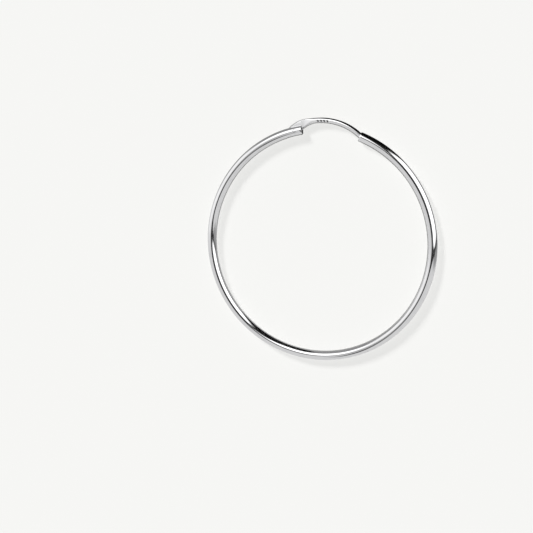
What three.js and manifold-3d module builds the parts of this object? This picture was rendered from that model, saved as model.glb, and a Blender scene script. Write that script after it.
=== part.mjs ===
import * as THREE from "three";
import { mergeVertices } from "three/addons/utils/BufferGeometryUtils.js";
import Module from "manifold-3d";

// A plain silver hoop earring with a hinged ear wire, lying flat, in millimetres.
// +Z is up, +Y points from the hoop's middle to its opening, and the hinge is on the -X side of it.
// The origin is under the middle of the whole outline, on the surface that the hoop lies on.

// Hoop tube
const hoopOuterDiameter = 40;
const tubeDiameter = 1.5;
const tubeWall = 0.15;
const openingWidth = 10;

// Hinge: a slit sawn in the tube's end, a cross pin, and a flat blade with an eye
const slitWidth = 0.42;
const slitDepth = 2.75;
const pinDiameter = 0.5;
const pinInset = 1.2;
const pinSeatClearance = 0.03;
const pinRecess = 0.015;
const eyeClearance = 0.05;
const bladeThickness = 0.34;
const bladeWidth = 1.76;
const bladeTail = 1.2;
const bladeNeck = 1.6;
const bladeTilt = 23;
const bladeTaper = 4.2;
const eyeOffset = 0.25;

// Ear wire: an arch over the opening, whose tip sits in the tube's other end
const wireDiameter = 0.8;
const archRise = 1.35;
const tipDepth = 1.9;
const tipLift = 0.14;
const tipSink = 0.035;
const tipDome = 0.3;

// The arch between blade and catch. turn is a share of half the opening's angle, 1 at the hinge
// side and -1 at the catch side. rise is a share of the arch's height over the tube's centreline.
const archRoute = [
  { turn: 0.655, rise: 0.941 },
  { turn: 0.371, rise: 1.02 },
  { turn: 0.093, rise: 1.0 },
  { turn: -0.23, rise: 0.874 },
  { turn: -0.513, rise: 0.674 },
  { turn: -0.768, rise: 0.407 },
];

// Facets
const tubeSides = 16;
const tubeSteps = 90;
const wireSides = 16;
const wireSteps = 34;
const eyeRings = 6;
const domeRings = 4;
const bluntEnd = 0.3;
const pinSides = 16;

// Worked out from the sizes above
const hoopRadius = (hoopOuterDiameter - tubeDiameter) / 2;
const tubeRadius = tubeDiameter / 2;
const wireRadius = wireDiameter / 2;
const halfOpening = Math.asin(openingWidth / 2 / hoopRadius);
const pinAngle = halfOpening + pinInset / hoopRadius;
const slitAngle = halfOpening + slitDepth / hoopRadius;

const silver = new THREE.MeshStandardMaterial({ color: 0xe6e6e8, metalness: 1, roughness: 0.12 });
const wasm = await Module();
wasm.setup();

// A point at this distance from the hoop's middle. The angle counts from the opening's middle
// towards the hinge, in radians.
function polar(radius, angle) {
  return new THREE.Vector3(-radius * Math.sin(angle), radius * Math.cos(angle), 0);
}

// The tube's centreline, from the hinge end round to the catch end
class HoopCentreline extends THREE.Curve {
  getPoint(t, target = new THREE.Vector3()) {
    const angle = halfOpening + t * 2 * (Math.PI - halfOpening);
    return target.copy(polar(hoopRadius, angle));
  }
}

// A regular polygon round a circle of this radius, with a flat side at its lowest place
function flatSided(path, radius, sides) {
  const corner = radius / Math.cos(Math.PI / sides);
  for (let k = 0; k < sides; k += 1) {
    const angle = ((k + 0.5) * 2 * Math.PI) / sides;
    const x = corner * Math.cos(angle);
    const y = corner * Math.sin(angle);
    if (k === 0) path.moveTo(x, y);
    else path.lineTo(x, y);
  }
  path.closePath();
  return path;
}

function toSolid(geometry) {
  const bare = geometry.clone();
  bare.deleteAttribute("normal");
  bare.deleteAttribute("uv");
  const merged = mergeVertices(bare, 1e-4);
  const mesh = new wasm.Mesh({
    numProp: 3,
    vertProperties: new Float32Array(merged.attributes.position.array),
    triVerts: new Uint32Array(merged.index.array),
  });
  return new wasm.Manifold(mesh);
}

function toGeometry(solid) {
  const mesh = solid.getMesh();
  const geometry = new THREE.BufferGeometry();
  geometry.setAttribute("position", new THREE.BufferAttribute(mesh.vertProperties, 3));
  geometry.setIndex(new THREE.BufferAttribute(mesh.triVerts, 1));
  geometry.computeVertexNormals();
  return geometry;
}

// A round bar along Z, centred on the pin's axis
function barAtPin(radius, length) {
  const bar = new THREE.CylinderGeometry(radius, radius, length, pinSides);
  bar.rotateX(Math.PI / 2);
  const centre = polar(hoopRadius, pinAngle);
  bar.translate(centre.x, centre.y, centre.z);
  return bar;
}

// The saw cut, in the hoop's own plane, from past the tube's end to the slit's depth
function sawCut() {
  const middle = (halfOpening + slitAngle) / 2;
  const length = slitDepth + tubeRadius;
  const cut = new THREE.BoxGeometry(length, 2 * tubeDiameter, slitWidth);
  cut.translate((length - slitDepth) / 2, 0, 0);
  cut.rotateZ(middle);
  const centre = polar(hoopRadius, middle);
  cut.translate(centre.x, centre.y, centre.z);
  return cut;
}

function hoopTube() {
  const section = flatSided(new THREE.Shape(), tubeRadius, tubeSides);
  section.holes.push(flatSided(new THREE.Path(), tubeRadius - tubeWall, tubeSides));
  const tube = new THREE.ExtrudeGeometry(section, {
    steps: tubeSteps,
    extrudePath: new HoopCentreline(),
  });
  const seat = barAtPin(pinDiameter / 2 + pinSeatClearance, 2 * tubeDiameter);
  return toGeometry(toSolid(tube).subtract(toSolid(sawCut())).subtract(toSolid(seat)));
}

// The wire's centreline in the hoop's plane: straight blade, arch, then the tip in the tube
function wireRoute() {
  const along = polar(1, pinAngle - Math.PI / 2 + THREE.MathUtils.degToRad(bladeTilt));
  const outward = new THREE.Vector3(-along.y, along.x, 0);
  const eye = polar(hoopRadius, pinAngle).addScaledVector(outward, eyeOffset);
  const points = [
    eye.clone().addScaledVector(along, -bladeTail),
    eye,
    eye.clone().addScaledVector(along, bladeNeck),
  ];
  for (const row of archRoute) {
    points.push(polar(hoopRadius + row.rise * archRise, row.turn * halfOpening));
  }
  points.push(polar(hoopRadius + tipLift, -halfOpening));
  for (const share of [0.5, 1]) {
    points.push(polar(hoopRadius - tipSink, -halfOpening - (share * tipDepth) / hoopRadius));
  }
  return new THREE.CatmullRomCurve3(points, false, "centripetal");
}

// Distances along the wire of its cross-sections. They are closer together where its ends are
// rounded, and the first one stands a little way in, so that each end closes on a small flat.
function wireStations(length) {
  const stations = [];
  const rounded = (k, rings) => 1 - Math.cos(((k + bluntEnd) / (rings + bluntEnd)) * (Math.PI / 2));
  for (let k = 0; k < eyeRings; k += 1) stations.push(bladeTail * rounded(k, eyeRings));
  const last = length - tipDome;
  for (let k = 0; k <= wireSteps; k += 1) {
    stations.push(bladeTail + ((last - bladeTail) * k) / wireSteps);
  }
  for (let k = domeRings - 1; k >= 0; k -= 1) stations.push(length - tipDome * rounded(k, domeRings));
  return stations;
}

// Half the wire's width in the hoop's plane and half its thickness, at a distance along it
function wireSection(distance, length) {
  const past = distance - bladeTail;
  const taper = THREE.MathUtils.smoothstep(past, 0, bladeTaper);
  const swell = THREE.MathUtils.smoothstep(past, bladeNeck, bladeTaper);
  const tail = Math.max(0, -past / bladeTail);
  const tip = Math.max(0, (distance - (length - tipDome)) / tipDome);
  const end = Math.sqrt(1 - Math.max(tail, tip) ** 2);
  return {
    width: end * THREE.MathUtils.lerp(bladeWidth / 2, wireRadius, taper),
    thickness: (tip > 0 ? end : 1) * THREE.MathUtils.lerp(bladeThickness / 2, wireRadius, swell),
    flat: 1 - swell,
  };
}

// One corner of a cross-section, between round and nearly rectangular
function corner(step, section) {
  const angle = ((step + 0.5) * 2 * Math.PI) / wireSides;
  const power = 1 - section.flat / 2;
  const c = Math.cos(angle);
  const s = Math.sin(angle);
  return {
    across: section.width * Math.sign(c) * Math.abs(c) ** power,
    up: section.thickness * Math.sign(s) * Math.abs(s) ** power,
  };
}

function earWire() {
  const route = wireRoute();
  const length = route.getLength();
  const stations = wireStations(length);
  const positions = [];
  const faces = [];
  for (const distance of stations) {
    const centre = route.getPointAt(distance / length);
    const tangent = route.getTangentAt(distance / length);
    const section = wireSection(distance, length);
    for (let k = 0; k < wireSides; k += 1) {
      const { across, up } = corner(k, section);
      positions.push(centre.x - tangent.y * across, centre.y + tangent.x * across, up);
    }
  }
  for (let i = 0; i + 1 < stations.length; i += 1) {
    for (let k = 0; k < wireSides; k += 1) {
      const a = i * wireSides + k;
      const b = i * wireSides + ((k + 1) % wireSides);
      faces.push(a, b, a + wireSides, b, b + wireSides, a + wireSides);
    }
  }
  const start = route.getPointAt(0);
  const end = route.getPointAt(1);
  const startIndex = positions.length / 3;
  positions.push(start.x, start.y, 0, end.x, end.y, 0);
  const lastRing = (stations.length - 1) * wireSides;
  for (let k = 0; k < wireSides; k += 1) {
    const next = (k + 1) % wireSides;
    faces.push(startIndex, next, k);
    faces.push(startIndex + 1, lastRing + k, lastRing + next);
  }
  const wire = new THREE.BufferGeometry();
  wire.setAttribute("position", new THREE.Float32BufferAttribute(positions, 3));
  wire.setIndex(faces);
  const eye = barAtPin((pinDiameter / 2 + eyeClearance) / Math.cos(Math.PI / pinSides), tubeDiameter);
  return toGeometry(toSolid(wire).subtract(toSolid(eye)));
}

function hingePin() {
  return barAtPin(pinDiameter / 2, tubeDiameter - 2 * pinRecess);
}

function piece(name, geometry) {
  const mesh = new THREE.Mesh(geometry, silver);
  mesh.name = name;
  return mesh;
}

// The hoop's middle lies below the outline's middle, because the arch stands out at the opening
function hoopPlace(wireTop) {
  const tubeBottom = -(hoopRadius + tubeRadius);
  return new THREE.Vector3(0, -(wireTop + tubeBottom) / 2, tubeRadius);
}

const group = new THREE.Group();
const wireGeometry = earWire();
wireGeometry.computeBoundingBox();
group.add(piece("hoop_tube", hoopTube()));
group.add(piece("ear_wire", wireGeometry));
group.add(piece("hinge_pin", hingePin()));
group.position.copy(hoopPlace(wireGeometry.boundingBox.max.y));

export default group;
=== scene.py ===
import math
from bisect import bisect_left

import bmesh
import bpy
from mathutils import Matrix, Vector


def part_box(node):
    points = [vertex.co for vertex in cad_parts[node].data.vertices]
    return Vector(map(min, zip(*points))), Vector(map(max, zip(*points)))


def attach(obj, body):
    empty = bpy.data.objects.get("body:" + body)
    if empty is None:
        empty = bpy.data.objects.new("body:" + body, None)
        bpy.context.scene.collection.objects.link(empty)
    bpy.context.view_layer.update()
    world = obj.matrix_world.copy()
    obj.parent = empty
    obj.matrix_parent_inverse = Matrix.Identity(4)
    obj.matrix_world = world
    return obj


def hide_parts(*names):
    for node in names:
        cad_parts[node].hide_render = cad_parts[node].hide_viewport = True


# The looks of a plain polished silver hoop earring with a hinged ear wire, lying on a pale floor.
# Everything is in metres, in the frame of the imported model: +Z is up, +Y points to the opening.
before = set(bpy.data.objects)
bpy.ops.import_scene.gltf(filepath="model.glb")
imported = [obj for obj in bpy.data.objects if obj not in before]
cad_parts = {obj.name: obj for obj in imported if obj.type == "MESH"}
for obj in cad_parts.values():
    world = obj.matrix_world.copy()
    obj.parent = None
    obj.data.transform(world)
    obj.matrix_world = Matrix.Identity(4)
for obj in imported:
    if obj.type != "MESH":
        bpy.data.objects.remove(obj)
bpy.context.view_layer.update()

MM = 0.001

# Hoop tube. Its diameter and the pin's are read from the frame.
tube_low, tube_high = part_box("hoop_tube")
tube_diameter = tube_high.z - tube_low.z
hoop_outer_diameter = 40 * MM
tube_wall = 0.15 * MM
opening_width = 10 * MM
lip_round = 0.02 * MM

# Hinge: slit, pin and blade
pin_low, pin_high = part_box("hinge_pin")
pin_diameter = pin_high.x - pin_low.x
slit_width = 0.42 * MM
slit_depth = 2.75 * MM
pin_inset = 1.2 * MM
pin_seat_clearance = 0.03 * MM
pin_recess = 0.015 * MM
pin_edge = 0.025 * MM
eye_clearance = 0.05 * MM
blade_thickness = 0.34 * MM
blade_width = 1.76 * MM
blade_tail = 1.2 * MM
blade_neck = 1.6 * MM
blade_tilt = math.radians(23)
blade_taper = 4.2 * MM
blade_squareness = 0.8
eye_offset = 0.25 * MM

# One end of the pin, from its middle outward, as (share of its radius, share of its edge's drop)
pin_end = [
    (0.05, 0),
    (0.4, 0),
    (0.7, 0),
    (0.9, 0),
    (0.96, 0.25),
    (1, 1),
]

# Ear wire
wire_diameter = 0.8 * MM
arch_rise = 1.35 * MM
tip_depth = 1.9 * MM
tip_lift = 0.14 * MM
tip_sink = 0.035 * MM
tip_dome = 0.3 * MM

# The arch's route, as (share of half the opening's angle, share of the arch's height)
arch_route = [
    (0.655, 0.941),
    (0.371, 1.02),
    (0.093, 1.0),
    (-0.23, 0.874),
    (-0.513, 0.674),
    (-0.768, 0.407),
]

# Plain round punch marks in a row on the arch's upper side. A mark's flat bottom has mark_floor of
# the mark's radius.
mark_count = 4
mark_first = 5.75 * MM
mark_pitch = 0.55 * MM
mark_radius = 0.22 * MM
mark_floor = 0.35
mark_depth = 0.07 * MM
mark_inward = 0.16 * MM

# Fineness of the meshes. The last ring of a rounded end stays blunt_end of a ring from its point.
tube_sides = 64
tube_steps = 420
bore_steps = 180
lip_steps = 4
bar_sides = 96
wire_sides = 48
wire_steps = 420
end_rings = 14
blunt_end = 0.3
route_steps = 60
shell_subdivisions = 5

# Edges sharper than this many degrees are left hard
silver_crease = 40
pin_crease = 60

# Finish of the polished silver: soft patches, and fine lines along the piece
patch_scale = 900
patch_detail = 3
patch_range = (0.3, 0.7)
patch_tints = ((0.92, 0.92, 0.93, 1), (0.965, 0.965, 0.97, 1))
patch_wear_range = (0.3, 0.75)
patch_roughness = (0.045, 0.085)
line_stretch = (0.5, 70, 1)
line_scale = 2.2
line_detail = 4
line_range = (0.5, 0.8)
line_roughness = 0.05
scratch_strength = 0.05
scratch_height = 0.004 * MM

# Duller silver with painted shade in its darker greys. The bore and the saw cut get a rougher, darker
# grey, the punch marks a near-black grey, and the blade's outer rim a painted dark outline. A face that
# looks along the tube by more than bore_facing_limit is on its polished end.
dull_roughness = 0.35
bore_and_rim_painted_shade_grey = 0.45
mark_painted_shade_grey = 0.1
bore_facing_limit = 0.7
bore_wall_share = 0.3
mark_depth_share = 0.4
rim_flatness = 0.4
rim_width_share = 0.82

# Worked out from the sizes above
hoop_radius = (hoop_outer_diameter - tube_diameter) / 2
tube_radius = tube_diameter / 2
bore_radius = tube_radius - tube_wall
wire_radius = wire_diameter / 2
half_opening = math.asin(opening_width / 2 / hoop_radius)
pin_angle = half_opening + pin_inset / hoop_radius
slit_angle = half_opening + slit_depth / hoop_radius
hoop_centre = Vector((0, tube_low.y + hoop_outer_diameter / 2, (tube_low.z + tube_high.z) / 2))

# The corners of a square, in order round it
square = ((-1, -1), (1, -1), (1, 1), (-1, 1))


def polar(radius, angle):
    """A point at this distance from the hoop's middle. The angle counts from +Y to the hinge."""
    return hoop_centre + Vector((-radius * math.sin(angle), radius * math.cos(angle), 0))


def smoothstep(value, low, high):
    """0 below low, 1 above high, and smooth between them."""
    share = min(1.0, max(0.0, (value - low) / (high - low)))
    return share * share * (3 - 2 * share)


def mix(a, b, share):
    """The value this share of the way from a to b."""
    return a + (b - a) * share


def new_object(name, data):
    """An object in the scene with this mesh, lamp or camera."""
    made = bpy.data.objects.new(name, data)
    bpy.context.scene.collection.objects.link(made)
    return made


def skin(name, rings, wrap, looped=False):
    """A mesh through rings of points. wrap lists the rings' distances along the piece."""
    sides = len(rings[0])
    points = [p for ring in rings for p in ring]
    faces = []
    spans = len(rings) if looped else len(rings) - 1
    for i in range(spans):
        a, b = i * sides, ((i + 1) % len(rings)) * sides
        for k in range(sides):
            n = (k + 1) % sides
            faces.append((a + k, a + n, b + n, b + k))
    if not looped:
        faces.append(tuple(reversed(range(sides))))
        last = (len(rings) - 1) * sides
        faces.append(tuple(last + k for k in range(sides)))
    mesh = bpy.data.meshes.new(name)
    mesh.from_pydata(points, [], faces)
    lay_wrap(mesh, sides, wrap)
    mesh.update()
    return new_object(name, mesh)


def lay_wrap(mesh, sides, wrap):
    """Texture places: millimetres along the piece, and a share of the way around it."""
    layer = mesh.uv_layers.new(name="wrap")
    for polygon in mesh.polygons:
        corners = [mesh.loops[i].vertex_index for i in polygon.loop_indices]
        turns = [corner % sides for corner in corners]
        on_seam = len(corners) == 4 and max(turns) - min(turns) > 1
        for loop, corner, turn in zip(polygon.loop_indices, corners, turns):
            around = sides if on_seam and turn == 0 else turn
            layer.data[loop].uv = (wrap[corner // sides] / MM, around / sides)


def cut_away(piece, cutter):
    """Subtracts the cutter from the piece's own mesh, and removes the cutter."""
    cut = piece.modifiers.new("cut", "BOOLEAN")
    cut.operation = "DIFFERENCE"
    cut.solver = "EXACT"
    cut.object = cutter
    bpy.context.view_layer.update()
    evaluated = piece.evaluated_get(bpy.context.evaluated_depsgraph_get())
    old, made = piece.data, bpy.data.meshes.new_from_object(evaluated)
    piece.modifiers.remove(cut)
    made.name = old.name
    piece.data = made
    bpy.data.meshes.remove(old)
    bpy.data.objects.remove(cutter)


def shade_smooth(piece, crease):
    """Smooth shading, with the edges that are sharper than the crease left hard."""
    piece.data.shade_smooth()
    piece.data.set_sharp_from_angle(angle=math.radians(crease))


def bar_at_pin(radius, length):
    """A round bar along Z, centred on the pin's axis."""
    centre = polar(hoop_radius, pin_angle)
    turns = [2 * math.pi * k / bar_sides for k in range(bar_sides)]
    rings = []
    for z in (-length / 2, length / 2):
        rings.append([centre + Vector((radius * math.cos(t), radius * math.sin(t), z)) for t in turns])
    return skin("cutter", rings, [0, length])


def box_along(centre, turn, size):
    """A box of this size round a centre, turned about Z."""
    spin = Matrix.Rotation(turn, 3, "Z")
    rings = []
    for z in (-1, 1):
        ring = []
        for x, y in square:
            corner = Vector((x * size[0], y * size[1], z * size[2])) / 2
            ring.append(centre + spin @ corner)
        rings.append(ring)
    return skin("cutter", rings, [0, size[2]])


def saw_cut():
    """The slit for the blade, in the hoop's plane, from past the tube's end to the slit's depth."""
    middle = (half_opening + slit_angle) / 2
    length = slit_depth + tube_radius
    centre = polar(hoop_radius, middle)
    centre += Vector((math.cos(middle), math.sin(middle), 0)) * (length - slit_depth) / 2
    return box_along(centre, middle, (length, 2 * tube_diameter, slit_width))


def tube_ring(angle, radius):
    """One section of the hoop's tube."""
    ring = []
    for k in range(tube_sides):
        turn = 2 * math.pi * k / tube_sides
        point = polar(hoop_radius + radius * math.cos(turn), angle)
        point.z += radius * math.sin(turn)
        ring.append(point)
    return ring


def lip_profile():
    """The rounded lip of an open end, from outside to inside, as (distance in from the end, radius)."""
    profile = []
    for k in range(lip_steps + 1):
        t = k / lip_steps * math.pi / 2
        profile.append((lip_round * (1 - math.sin(t)), tube_radius - lip_round * (1 - math.cos(t))))
    for k in range(lip_steps + 1):
        t = (1 - k / lip_steps) * math.pi / 2
        profile.append((lip_round * (1 - math.sin(t)), bore_radius + lip_round * (1 - math.cos(t))))
    return profile


def hoop_tube():
    """The hollow tube, from the hinge end along its outside and back along its bore."""
    start, end = half_opening, 2 * math.pi - half_opening
    inset = lip_round / hoop_radius
    sections = []
    for k in range(1, tube_steps):
        sections.append((mix(start + inset, end - inset, k / tube_steps), tube_radius))
    for distance, radius in lip_profile():
        sections.append((end - distance / hoop_radius, radius))
    for k in range(1, bore_steps):
        sections.append((mix(end - inset, start + inset, k / bore_steps), bore_radius))
    for distance, radius in reversed(lip_profile()):
        sections.append((start + distance / hoop_radius, radius))
    rings = [tube_ring(angle, radius) for angle, radius in sections]
    wrap = [angle * hoop_radius for angle, _ in sections]
    tube = skin("silver_hoop_tube", rings, wrap, looped=True)
    cut_away(tube, saw_cut())
    cut_away(tube, bar_at_pin(pin_diameter / 2 + pin_seat_clearance, 2 * tube_diameter))
    shade_smooth(tube, silver_crease)
    return tube


def in_the_bore(mesh, polygon):
    """Whether a face of the tube is on its bore or its saw cut, and not on its polished end. These faces
    get painted shade.
    """
    off = Vector(polygon.center) - hoop_centre
    level = math.hypot(off.x, off.y)
    facing = abs(polygon.normal.y * off.x - polygon.normal.x * off.y) / level
    depth = tube_radius - math.hypot(level - hoop_radius, off.z)
    return facing < bore_facing_limit and depth > bore_wall_share * tube_wall


def hinge_pin():
    """A round pin whose ends follow the tube's round, just under its surface, with softened edges."""
    levels = [(-1, share, drop) for share, drop in pin_end]
    levels += [(1, share, drop) for share, drop in reversed(pin_end)]
    rings = []
    for side, share, drop in levels:
        ring = []
        for k in range(tube_sides):
            turn = 2 * math.pi * k / tube_sides
            reach = pin_diameter / 2 * share
            point = polar(hoop_radius, pin_angle) + Vector((math.cos(turn), math.sin(turn), 0)) * reach
            off = (point - hoop_centre).length - hoop_radius
            point.z += side * (math.sqrt(tube_radius**2 - off**2) - pin_recess - drop * pin_edge)
            ring.append(point)
        rings.append(ring)
    pin = skin("silver_hinge_pin", rings, [side * tube_radius for side, _, _ in levels])
    shade_smooth(pin, pin_crease)
    return pin


def centripetal(points):
    """Points of a centripetal Catmull-Rom curve through these points."""
    first = points[0] * 2 - points[1]
    last = points[-1] * 2 - points[-2]
    chain = [first, *points, last]
    curve = []
    for i in range(1, len(chain) - 2):
        p0, p1, p2, p3 = chain[i - 1 : i + 3]
        t0 = 0
        t1 = t0 + (p1 - p0).length ** 0.5
        t2 = t1 + (p2 - p1).length ** 0.5
        t3 = t2 + (p3 - p2).length ** 0.5
        for k in range(route_steps):
            t = mix(t1, t2, k / route_steps)
            a1 = p0.lerp(p1, (t - t0) / (t1 - t0))
            a2 = p1.lerp(p2, (t - t1) / (t2 - t1))
            a3 = p2.lerp(p3, (t - t2) / (t3 - t2))
            b1 = a1.lerp(a2, (t - t0) / (t2 - t0))
            b2 = a2.lerp(a3, (t - t1) / (t3 - t1))
            curve.append(b1.lerp(b2, (t - t1) / (t2 - t1)))
    curve.append(points[-1].copy())
    return curve


class Route:
    """The ear wire's centreline in the hoop's plane: straight blade, arch, then the tip in the tube."""

    def __init__(self):
        turn = pin_angle - math.pi / 2 + blade_tilt
        along = Vector((-math.sin(turn), math.cos(turn), 0))
        outward = Vector((-along.y, along.x, 0))
        eye = polar(hoop_radius, pin_angle) + outward * eye_offset
        points = [eye - along * blade_tail, eye, eye + along * blade_neck]
        for turn, rise in arch_route:
            points.append(polar(hoop_radius + rise * arch_rise, turn * half_opening))
        points.append(polar(hoop_radius + tip_lift, -half_opening))
        for share in (0.5, 1):
            angle = -half_opening - share * tip_depth / hoop_radius
            points.append(polar(hoop_radius - tip_sink, angle))
        self.points = centripetal(points)
        self.reach = [0.0]
        for a, b in zip(self.points, self.points[1:]):
            self.reach.append(self.reach[-1] + (b - a).length)
        self.length = self.reach[-1]

    def at(self, distance):
        """The point and the direction at a distance along the wire."""
        i = bisect_left(self.reach, distance, 1, len(self.reach) - 1)
        span = self.reach[i] - self.reach[i - 1]
        share = min(1.0, max(0.0, (distance - self.reach[i - 1]) / span))
        before, after = max(i - 2, 0), min(i + 1, len(self.points) - 1)
        here = (self.points[i] - self.points[i - 1]).normalized()
        around = (self.points[after] - self.points[before]).normalized()
        return self.points[i - 1].lerp(self.points[i], share), (here + around).normalized()


route = Route()


def rounded_end(k):
    """How far the k-th ring of a rounded end is from its point, as a share of that end's length."""
    return 1 - math.cos((k + blunt_end) / (end_rings + blunt_end) * math.pi / 2)


def wire_stations():
    """Distances of the wire's sections, closer together where its ends are rounded."""
    last = route.length - tip_dome
    stations = [blade_tail * rounded_end(k) for k in range(end_rings)]
    stations += [mix(blade_tail, last, k / wire_steps) for k in range(wire_steps + 1)]
    stations += [route.length - tip_dome * rounded_end(k) for k in reversed(range(end_rings))]
    return stations


def wire_section(distance):
    """Half the wire's width, half its thickness, and its flatness: 1 at the blade, 0 at the arch."""
    past = distance - blade_tail
    taper = smoothstep(past, 0, blade_taper)
    swell = smoothstep(past, blade_neck, blade_taper)
    tail = max(0.0, -past / blade_tail)
    tip = max(0.0, (distance - (route.length - tip_dome)) / tip_dome)
    end = math.sqrt(max(0.0, 1 - max(tail, tip) ** 2))
    width = end * mix(blade_width / 2, wire_radius, taper)
    thickness = (end if tip > 0 else 1) * mix(blade_thickness / 2, wire_radius, swell)
    return width, thickness, 1 - swell


def dent(distance, flat, up):
    """How far a punch mark lowers the wire's upper side here."""
    if up <= 0:
        return 0.0
    depth = 0.0
    for k in range(mark_count):
        away = math.hypot(distance - mark_first - k * mark_pitch, flat + mark_inward)
        depth = max(depth, mark_depth * (1 - smoothstep(away, mark_floor * mark_radius, mark_radius)))
    return depth


def wire_ring(distance):
    """One section of the ear wire, between nearly rectangular at the blade and round at the arch."""
    centre, tangent = route.at(distance)
    across = Vector((-tangent.y, tangent.x, 0))
    width, thickness, flatness = wire_section(distance)
    power = 1 - blade_squareness * flatness
    ring = []
    for k in range(wire_sides):
        turn = 2 * math.pi * (k + 0.5) / wire_sides
        c, s = math.cos(turn), math.sin(turn)
        flat = width * math.copysign(abs(c) ** power, c)
        up = thickness * math.copysign(abs(s) ** power, s)
        ring.append(centre + across * flat + Vector((0, 0, up - dent(distance, flat, up))))
    return ring


def ear_wire():
    """The flat blade with its eye, the arch with its punch marks, and the domed tip."""
    stations = wire_stations()
    wire = skin("silver_ear_wire", [wire_ring(d) for d in stations], stations)
    cut_away(wire, bar_at_pin(pin_diameter / 2 + eye_clearance, tube_diameter))
    shade_smooth(wire, silver_crease)
    return wire


def place_on_wire(mesh, polygon):
    """Where a face of the ear wire is: its distance along it, outward from its middle, and up."""
    wrap = mesh.uv_layers["wrap"].data
    distance = sum(wrap[i].uv[0] for i in polygon.loop_indices) / len(polygon.loop_indices) * MM
    centre, tangent = route.at(distance)
    off = Vector(polygon.center) - centre
    return distance, off.y * tangent.x - off.x * tangent.y, off.z


def in_a_mark(mesh, polygon):
    """Whether a face of the ear wire is in a punch mark, where a near-black grey paints the shade in the
    dent.
    """
    return dent(*place_on_wire(mesh, polygon)) > mark_depth_share * mark_depth


def on_the_rim(mesh, polygon):
    """Whether a face of the ear wire is on the blade's outer rim, where a darker grey paints a dark
    outline (painted shade).
    """
    distance, flat, _ = place_on_wire(mesh, polygon)
    width, _, flatness = wire_section(distance)
    return flatness > rim_flatness and flat > rim_width_share * width


# Which of a mix node's sockets take what is below and above, and give the result. Levels and colours
# have their own, with the same names.
mix_sockets = {
    "FLOAT": (2, 3, 0),
    "RGBA": (6, 7, 2),
}


class Tree:
    """Short ways to add nodes to a shader tree."""

    def __init__(self, owner):
        owner.use_nodes = True
        self.tree = owner.node_tree
        self.tree.nodes.clear()

    def node(self, kind, **settings):
        made = self.tree.nodes.new(kind)
        for key, value in settings.items():
            setattr(made, key, value)
        return made

    def surface(self, output, shader):
        """Adds the tree's output and the shader that feeds it, and returns the shader."""
        end = self.node(output)
        made = self.node(shader)
        self.tree.links.new(made.outputs[0], end.inputs["Surface"])
        return made

    def feed(self, socket, value):
        if isinstance(value, bpy.types.NodeSocket):
            self.tree.links.new(value, socket)
        else:
            socket.default_value = value

    def math(self, operation, *values):
        made = self.node("ShaderNodeMath", operation=operation)
        for socket, value in zip(made.inputs, values):
            self.feed(socket, value)
        return made.outputs[0]

    def ramp(self, value, low, high, start=0.0, stop=1.0):
        """value taken smoothly from low..high to start..stop."""
        made = self.node("ShaderNodeMapRange", interpolation_type="SMOOTHSTEP")
        names = ("Value", "From Min", "From Max", "To Min", "To Max")
        for name, given in zip(names, (value, low, high, start, stop)):
            self.feed(made.inputs[name], given)
        return made.outputs["Result"]

    def noise(self, place, scale, detail):
        made = self.node("ShaderNodeTexNoise")
        self.feed(made.inputs["Vector"], place)
        made.inputs["Scale"].default_value = scale
        made.inputs["Detail"].default_value = detail
        return made.outputs["Fac"]

    def blend(self, share, below, above, data_type="FLOAT"):
        """below where share is 0, above where it is 1."""
        made = self.node("ShaderNodeMix", data_type=data_type)
        first, second, result = mix_sockets[data_type]
        self.feed(made.inputs["Factor"], share)
        self.feed(made.inputs[first], below)
        self.feed(made.inputs[second], above)
        return made.outputs[result]


def grey(level):
    """The colour grey of this level."""
    return (level, level, level, 1)


def new_material(name, shader):
    """A material with one shader. Gives back the material, its tree and the shader's node."""
    material = bpy.data.materials.new(name)
    t = Tree(material)
    return material, t, t.surface("ShaderNodeOutputMaterial", shader)


def polished_silver():
    """Bright polished silver, with fine lines along the piece and soft patches in tint and gloss."""
    material, t, metal = new_material("polished_silver", "ShaderNodeBsdfPrincipled")
    metal.inputs["Metallic"].default_value = 1.0

    place = t.node("ShaderNodeTexCoord")
    patches = t.noise(place.outputs["Object"], patch_scale, patch_detail)
    stretch = t.node("ShaderNodeMapping")
    t.feed(stretch.inputs["Vector"], place.outputs["UV"])
    stretch.inputs["Scale"].default_value = line_stretch
    lines = t.noise(stretch.outputs["Vector"], line_scale, line_detail)

    tint = t.blend(t.ramp(patches, *patch_range), *patch_tints, data_type="RGBA")
    t.feed(metal.inputs["Base Color"], tint)

    patch_wear = t.ramp(patches, *patch_wear_range, *patch_roughness)
    line_wear = t.ramp(lines, *line_range, 0, line_roughness)
    t.feed(metal.inputs["Roughness"], t.math("ADD", patch_wear, line_wear))

    scratches = t.node("ShaderNodeBump")
    scratches.inputs["Strength"].default_value = scratch_strength
    scratches.inputs["Distance"].default_value = scratch_height
    t.feed(scratches.inputs["Height"], lines)
    t.feed(metal.inputs["Normal"], scratches.outputs["Normal"])
    return material


def darkened_silver(name, level):
    """Unpolished, rougher metal of one darker grey, whose darkness is painted shade."""
    material, _, metal = new_material(name, "ShaderNodeBsdfPrincipled")
    metal.inputs["Metallic"].default_value = 1.0
    metal.inputs["Roughness"].default_value = dull_roughness
    metal.inputs["Base Color"].default_value = grey(level)
    return material


def dress(piece, body, node, *dull_and_shaded):
    """Gives a piece its finish and its body. The last arguments list duller finishes with painted shade
    in their darker grey, each with its test of faces.
    """
    mesh = piece.data
    mesh.materials.clear()
    mesh.materials.append(silver)
    for index, (material, applies) in enumerate(dull_and_shaded, start=1):
        mesh.materials.append(material)
        for polygon in mesh.polygons:
            if applies(mesh, polygon):
                polygon.material_index = index
    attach(piece, body)
    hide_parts(node)


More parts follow.
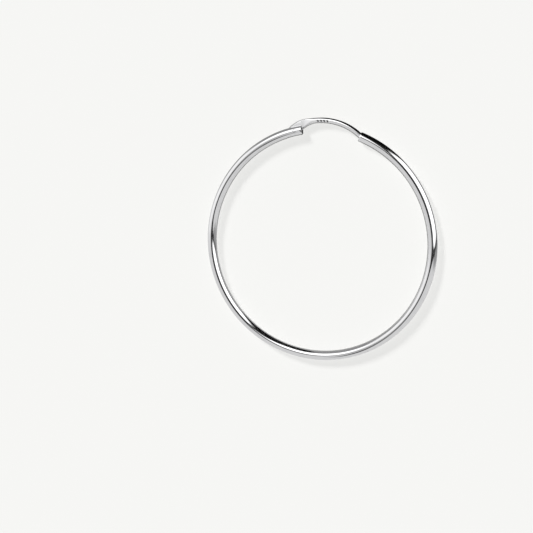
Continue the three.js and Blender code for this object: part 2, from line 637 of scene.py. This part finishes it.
# The photo studio around the earring, as the metal mirrors it. A direction is given by its bearing,
# from +X towards +Y, and by its zenith angle, from straight up, in degrees. A card is (bearing, half its
# width, zenith angle, half its height, narrowing per degree down, softness sideways, softness in height,
# brightness). Where no card stands, the brightness is the room's.
room_brightness = 0.64
cards = {
    "upper_grey": (125, 45, 105, 42, 0, 30, 14, 0.26),
    "right_grey": (2, 14, 96, 46, 0, 8, 14, 0.30),
    "far_dark": (38, 40, 122, 16, 0, 12, 8, 0.15),
    "underside": (0, 200, 160, 20, 0, 1, 10, 0.42),
    "black_flag": (84, 27, 86, 62, 0, 5, 8, 0.004),
    "left_softbox": (126, 36, 34, 24, 0.25, 9, 12, 1.5),
    "left_softbox_low": (170, 22, 56, 30, 0, 16, 20, 0.92),
    "right_softbox": (33, 31, 66, 38, 0.2, 8, 12, 1.5),
    "camera_shade": (38, 60, 13, 14, 0, 30, 10, 0.14),
}

# Dark seams between the cards, on a map whose x and y are degrees from straight up along +X and +Y:
# (x, y, half width, half height, turn, softness, brightness)
seams = {
    "seam_low": (2, -24, 7, 26, 0, 8, 0.06),
    "seam_top": (-4, -3, 11, 11, 0, 6, 0.0),
    "seam_up": (7, 28, 4.5, 24, -14, 5, 0.03),
    "seam_right": (36, -6, 32, 2.7, 6, 2, 0.03),
    "seam_far": (84, 2, 30, 3, 14, 3, 0.03),
}

# The cards are on a sphere round the earring. The backdrop is a wider one, in the lit floor's colour.
card_distance = 220 * MM
backdrop_distance = 2.5
backdrop_colour = (0.9216, 0.9216, 0.9047, 1)

# Straight up and straight down have no level part to divide by, and take this one
least_level = 0.0001


def inside(t, off, half, soft):
    """1 where off is less than half, 0 where it is more, with a soft edge."""
    return t.ramp(t.math("SUBTRACT", off, half), -soft / 2, soft / 2, 1.0, 0.0)


def card_mask(t, bearing, zenith, card):
    """1 in the directions where a card stands, 0 elsewhere."""
    middle, half_width, height, half_height, narrowing, soft_width, soft_height, _ = card
    sideways = t.math("ABSOLUTE", t.math("WRAP", t.math("SUBTRACT", bearing, middle), 180, -180))
    below = t.math("SUBTRACT", zenith, height)
    width = t.math("SUBTRACT", half_width, t.math("MULTIPLY", below, narrowing))
    mask = inside(t, sideways, width, soft_width)
    return t.math("MULTIPLY", mask, inside(t, t.math("ABSOLUTE", below), half_height, soft_height))


def seam_mask(t, x, y, seam):
    """1 in a seam, 0 elsewhere."""
    cx, cy, half_x, half_y, turn, soft, _ = seam
    c, s = math.cos(math.radians(turn)), math.sin(math.radians(turn))
    dx, dy = t.math("SUBTRACT", x, cx), t.math("SUBTRACT", y, cy)
    along = t.math("ADD", t.math("MULTIPLY", dx, c), t.math("MULTIPLY", dy, s))
    up = t.math("SUBTRACT", t.math("MULTIPLY", dy, c), t.math("MULTIPLY", dx, s))
    mask = inside(t, t.math("ABSOLUTE", along), half_x, soft)
    return t.math("MULTIPLY", mask, inside(t, t.math("ABSOLUTE", up), half_y, soft))


def card_brightness(t, direction):
    """The brightness of the studio in a direction."""
    split = t.node("ShaderNodeSeparateXYZ")
    t.feed(split.inputs[0], direction)
    dx, dy, dz = split.outputs
    bearing = t.math("DEGREES", t.math("ARCTAN2", dy, dx))
    zenith = t.math("DEGREES", t.math("ARCCOSINE", dz))
    level = t.math("SQRT", t.math("ADD", t.math("MULTIPLY", dx, dx), t.math("MULTIPLY", dy, dy)))
    reach = t.math("DIVIDE", zenith, t.math("MAXIMUM", level, least_level))
    x, y = t.math("MULTIPLY", dx, reach), t.math("MULTIPLY", dy, reach)
    brightness = room_brightness
    for card in cards.values():
        brightness = t.blend(card_mask(t, bearing, zenith, card), brightness, card[-1])
    for seam in seams.values():
        brightness = t.blend(seam_mask(t, x, y, seam), brightness, seam[-1])
    return brightness


def shell(name, material, radius, mirrored):
    """A sphere round the earring. Either only the metal mirrors it, or only the camera sees it."""
    ball = bmesh.new()
    bmesh.ops.create_icosphere(ball, subdivisions=shell_subdivisions, radius=radius)
    mesh = bpy.data.meshes.new(name)
    ball.to_mesh(mesh)
    ball.free()
    mesh.materials.append(material)
    sphere = new_object(name, mesh)
    sphere.visible_camera = not mirrored
    sphere.visible_glossy = mirrored
    sphere.visible_diffuse = False
    sphere.visible_transmission = False
    sphere.visible_shadow = False


def glowing(name):
    """A material that only glows, and isn't sampled as a lamp."""
    material, t, glow = new_material(name, "ShaderNodeEmission")
    material.cycles.emission_sampling = "NONE"
    return material, t, glow


def studio_cards():
    """The cards that the metal mirrors."""
    material, t, glow = glowing("studio_cards")
    place = t.node("ShaderNodeTexCoord")
    direction = t.node("ShaderNodeVectorMath", operation="NORMALIZE")
    t.feed(direction.inputs[0], place.outputs["Object"])
    t.feed(glow.inputs["Color"], card_brightness(t, direction.outputs[0]))
    shell("studio_cards", material, card_distance, mirrored=True)


def plain_backdrop():
    """What the camera sees past the floor, so that no horizon shows."""
    material, _, glow = glowing("backdrop")
    glow.inputs["Color"].default_value = backdrop_colour
    shell("backdrop", material, backdrop_distance, mirrored=False)


# The light on the floor: the room's even light, a low, soft key lamp that throws the shadow, and a fill
# lamp from the camera's side. The metal doesn't mirror the lamps. A lamp is (bearing, elevation, spread,
# strength), with its angles in degrees.
room_light = 0.2
lamps = {
    "key": (135, 31, 12, 1.5),
    "fill": (31.6, 73, 4, 3.59),
}


def even_light():
    """The room's light, the same from every side."""
    world = bpy.data.worlds.new("studio")
    bpy.context.scene.world = world
    light = Tree(world).surface("ShaderNodeOutputWorld", "ShaderNodeBackground")
    light.inputs["Color"].default_value = grey(room_light)


def towards(bearing, elevation):
    """The direction of a bearing and an elevation, in degrees."""
    bearing, elevation = math.radians(bearing), math.radians(elevation)
    level = math.cos(elevation)
    return Vector((level * math.cos(bearing), level * math.sin(bearing), math.sin(elevation)))


def add_lamp(name, bearing, elevation, spread, strength):
    """A far lamp in this direction."""
    lamp = bpy.data.lights.new(name, "SUN")
    lamp.energy = strength
    lamp.angle = math.radians(spread)
    light = new_object(name, lamp)
    light.rotation_euler = towards(bearing, elevation).to_track_quat("Z", "Y").to_euler()
    light.visible_glossy = False


# Half the side of the square floor, and its colour
floor_half = 3.0
floor_colour = (0.6, 0.6, 0.589, 1)


def pale_floor():
    """A wide level floor. The metal's mirror rays pass it, as in a photo on a light table."""
    corners = [(x * floor_half, y * floor_half, 0) for x, y in square]
    mesh = bpy.data.meshes.new("floor")
    mesh.from_pydata(corners, [], [(0, 1, 2, 3)])
    floor = new_object("floor", mesh)
    material, _, matte = new_material("pale_floor", "ShaderNodeBsdfDiffuse")
    matte.inputs["Color"].default_value = floor_colour
    mesh.materials.append(material)
    floor.visible_glossy = False


# The camera, at the photo's angle and aimed at the tube's mid-plane. view_upright is the bearing that
# is upright in the picture.
view_bearing = 31.583
view_elevation = 69.45
view_upright = 96.25
view_distance = 160 * MM
view_lens = 62.713
view_sensor = 36
view_clip = (0.005, 20)
aim = hoop_centre + Vector((-8.662, -5.280, 0)) * MM


def photo_camera():
    """The main view's camera."""
    data = bpy.data.cameras.new("camera")
    data.sensor_width = view_sensor
    data.lens = view_lens
    data.clip_start, data.clip_end = view_clip
    camera = new_object("camera", data)
    back = towards(view_bearing, view_elevation)
    right = (-back).cross(towards(view_upright, 0)).normalized()
    up = back.cross(right)
    turned = Matrix((right, up, back)).transposed().to_4x4()
    turned.translation = aim + back * view_distance
    camera.matrix_world = turned
    bpy.context.scene.camera = camera


silver = polished_silver()
# Darker grey with painted shade: in the bore and the saw cut, and as a painted dark outline on the
# blade's rim
bore_and_rim_painted_shade_silver = darkened_silver("bore_and_rim_painted_shade_silver", bore_and_rim_painted_shade_grey)
# Near-black grey in the punch marks: painted shade in the dents
mark_painted_shade_silver = darkened_silver("mark_painted_shade_silver", mark_painted_shade_grey)
dress(hoop_tube(), "hoop", "hoop_tube", (bore_and_rim_painted_shade_silver, in_the_bore))
dress(hinge_pin(), "hoop", "hinge_pin")
# The ear wire's rim gets a painted dark outline, and its punch marks painted shade in the dents
dress(ear_wire(), "ear_wire", "ear_wire", (bore_and_rim_painted_shade_silver, on_the_rim), (mark_painted_shade_silver, in_a_mark))
pale_floor()
studio_cards()
plain_backdrop()
even_light()
for name, settings in lamps.items():
    add_lamp(name, *settings)
photo_camera()

bpy.context.scene.view_settings.view_transform = "Standard"
